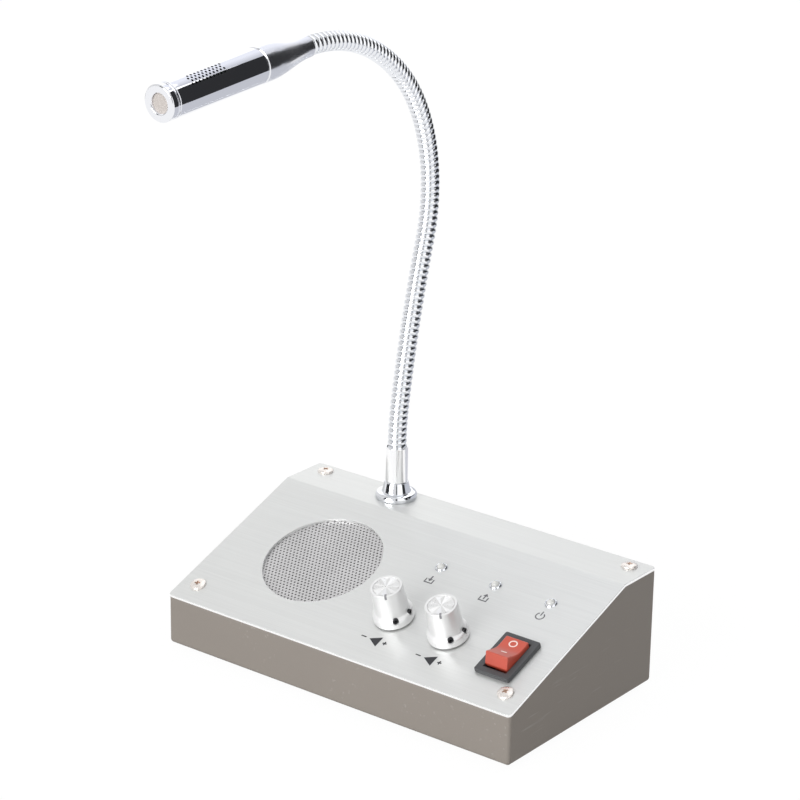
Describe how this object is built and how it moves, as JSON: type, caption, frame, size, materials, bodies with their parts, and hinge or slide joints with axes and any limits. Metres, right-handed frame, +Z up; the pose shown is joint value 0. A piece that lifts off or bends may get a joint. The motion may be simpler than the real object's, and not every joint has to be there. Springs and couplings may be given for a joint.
{
  "type": "teller window intercom",
  "caption": "Sloping desk intercom with a bendable gooseneck microphone, a speaker behind a round grille, volume knobs, a rocker switch and status lights.",
  "frame": {"origin": "centre of the case's flat underside", "axes": "+Z up, -Y towards the user, +X to the user's right"},
  "size_m": [0.16, 0.1544, 0.2419],
  "materials": {
    "case_paint": "satin powder coat",
    "brushed_panel": "brushed along the width",
    "bright_chrome": "polished",
    "plated_steel": "zinc plated",
    "yellow_plated_steel": "yellow passivated",
    "grille_metal": "satin grey",
    "knob_metal": "turned and bead blasted",
    "black_steel": "blackened",
    "bezel_plastic": "moulded",
    "rocker_plastic": "translucent moulded",
    "lens_plastic": "clear moulded",
    "black_rubber": "matte",
    "cone_paper": "pressed paper",
    "magnet_ferrite": "sintered",
    "capsule_face": "satin, felt faced",
    "contact_brass": "bright",
    "pot_brown": "phenolic",
    "board_green": "solder mask",
    "black_plastic": "moulded",
    "sleeve_blue": "shrunk sleeve",
    "header_white": "moulded",
    "lead_red": "insulation"
  },
  "bodies": {
    "case": {"case_tray": "case_paint", "top_panel": "brushed_panel", "panel_screws": "yellow_plated_steel", "rubber_feet": "black_rubber", "speaker_grille": "grille_metal", "speaker_basket": "plated_steel", "speaker_cone": "cone_paper", "speaker_magnet": "magnet_ferrite", "speaker_clips": "plated_steel", "clip_studs": "plated_steel", "clip_nuts": "plated_steel", "inside_pot": "pot_brown", "outside_pot": "pot_brown", "pot_washers": "plated_steel", "pot_nuts": "plated_steel", "light_rims": "bright_chrome", "light_lenses": "lens_plastic", "switch_housing": "bezel_plastic", "switch_terminals": "contact_brass", "neck_flange": "bright_chrome", "neck_ferrule": "bright_chrome", "neck_washer": "plated_steel", "neck_nut": "plated_steel", "neck_link_1": "bright_chrome", "unit_socket": "black_plastic", "record_socket": "black_plastic", "power_socket": "black_plastic", "socket_nuts": "plated_steel", "main_board": "board_green", "board_standoffs": "plated_steel", "board_screws": "plated_steel", "amplifier_chip": "black_plastic", "heat_sink": "plated_steel", "capacitors": "sleeve_blue", "board_headers": "header_white", "internal_leads": "lead_red"},
    "rocker": {"switch_rocker": "rocker_plastic"},
    "inside_knob": {"inside_volume_knob": "knob_metal", "inside_knob_grubs": "black_steel", "inside_shaft": "plated_steel"},
    "outside_knob": {"outside_volume_knob": "knob_metal", "outside_knob_grubs": "black_steel", "outside_shaft": "plated_steel"},
    "neck_2": {"neck_link_2": "bright_chrome"},
    "neck_3": {"neck_link_3": "bright_chrome"},
    "neck_4": {"neck_link_4": "bright_chrome"},
    "neck_5": {"neck_link_5": "bright_chrome"},
    "neck_6": {"neck_link_6": "bright_chrome"},
    "neck_7": {"neck_link_7": "bright_chrome"},
    "neck_8": {"neck_link_8": "bright_chrome"},
    "mic_head": {"neck_link_9": "bright_chrome", "mic_taper": "bright_chrome", "mic_barrel": "bright_chrome", "mic_cap": "bright_chrome", "mic_capsule": "capsule_face", "mic_boot": "black_rubber", "mic_board": "board_green"}
  },
  "joints": [
    {"name": "switch_rock", "type": "hinge", "parent": "case", "child": "rocker", "pos_m": [0.0628, -0.02327, 0.02942], "axis": [1, 0, 0], "range_deg": [0, 28]},
    {"name": "inside_volume_turn", "type": "hinge", "parent": "case", "child": "inside_knob", "pos_m": [0.0105, -0.02138, 0.02777], "axis": [0, -0.3482, 0.9374], "range_deg": [0, 300]},
    {"name": "outside_volume_turn", "type": "hinge", "parent": "case", "child": "outside_knob", "pos_m": [0.0355, -0.02138, 0.02777], "axis": [0, -0.3482, 0.9374], "range_deg": [0, 300]},
    {"name": "neck_bend_1", "type": "hinge", "parent": "case", "child": "neck_2", "pos_m": [-0.035, 0.03913, 0.09082], "axis": [1, 0, 0], "range_deg": [-20, 20]},
    {"name": "neck_sway_2", "type": "hinge", "parent": "neck_2", "child": "neck_3", "pos_m": [-0.035, 0.04367, 0.11416], "axis": [0, 0.977, -0.2133], "range_deg": [-20, 20]},
    {"name": "neck_bend_3", "type": "hinge", "parent": "neck_3", "child": "neck_4", "pos_m": [-0.035, 0.04927, 0.13726], "axis": [1, 0, 0], "range_deg": [-20, 20]},
    {"name": "neck_sway_4", "type": "hinge", "parent": "neck_4", "child": "neck_5", "pos_m": [-0.035, 0.05443, 0.16043], "axis": [0, 0.9962, -0.0867], "range_deg": [-20, 20]},
    {"name": "neck_bend_5", "type": "hinge", "parent": "neck_5", "child": "neck_6", "pos_m": [-0.035, 0.05257, 0.18402], "axis": [1, 0, 0], "range_deg": [-20, 20]},
    {"name": "neck_sway_6", "type": "hinge", "parent": "neck_6", "child": "neck_7", "pos_m": [-0.035, 0.04298, 0.20564], "axis": [0, 0.8239, 0.5667], "range_deg": [-20, 20]},
    {"name": "neck_bend_7", "type": "hinge", "parent": "neck_7", "child": "neck_8", "pos_m": [-0.035, 0.02622, 0.22233], "axis": [1, 0, 0], "range_deg": [-20, 20]},
    {"name": "neck_sway_8", "type": "hinge", "parent": "neck_8", "child": "mic_head", "pos_m": [-0.035, 0.0048, 0.23239], "axis": [0, 0.2663, 0.9639], "range_deg": [-20, 20]}
  ]
}
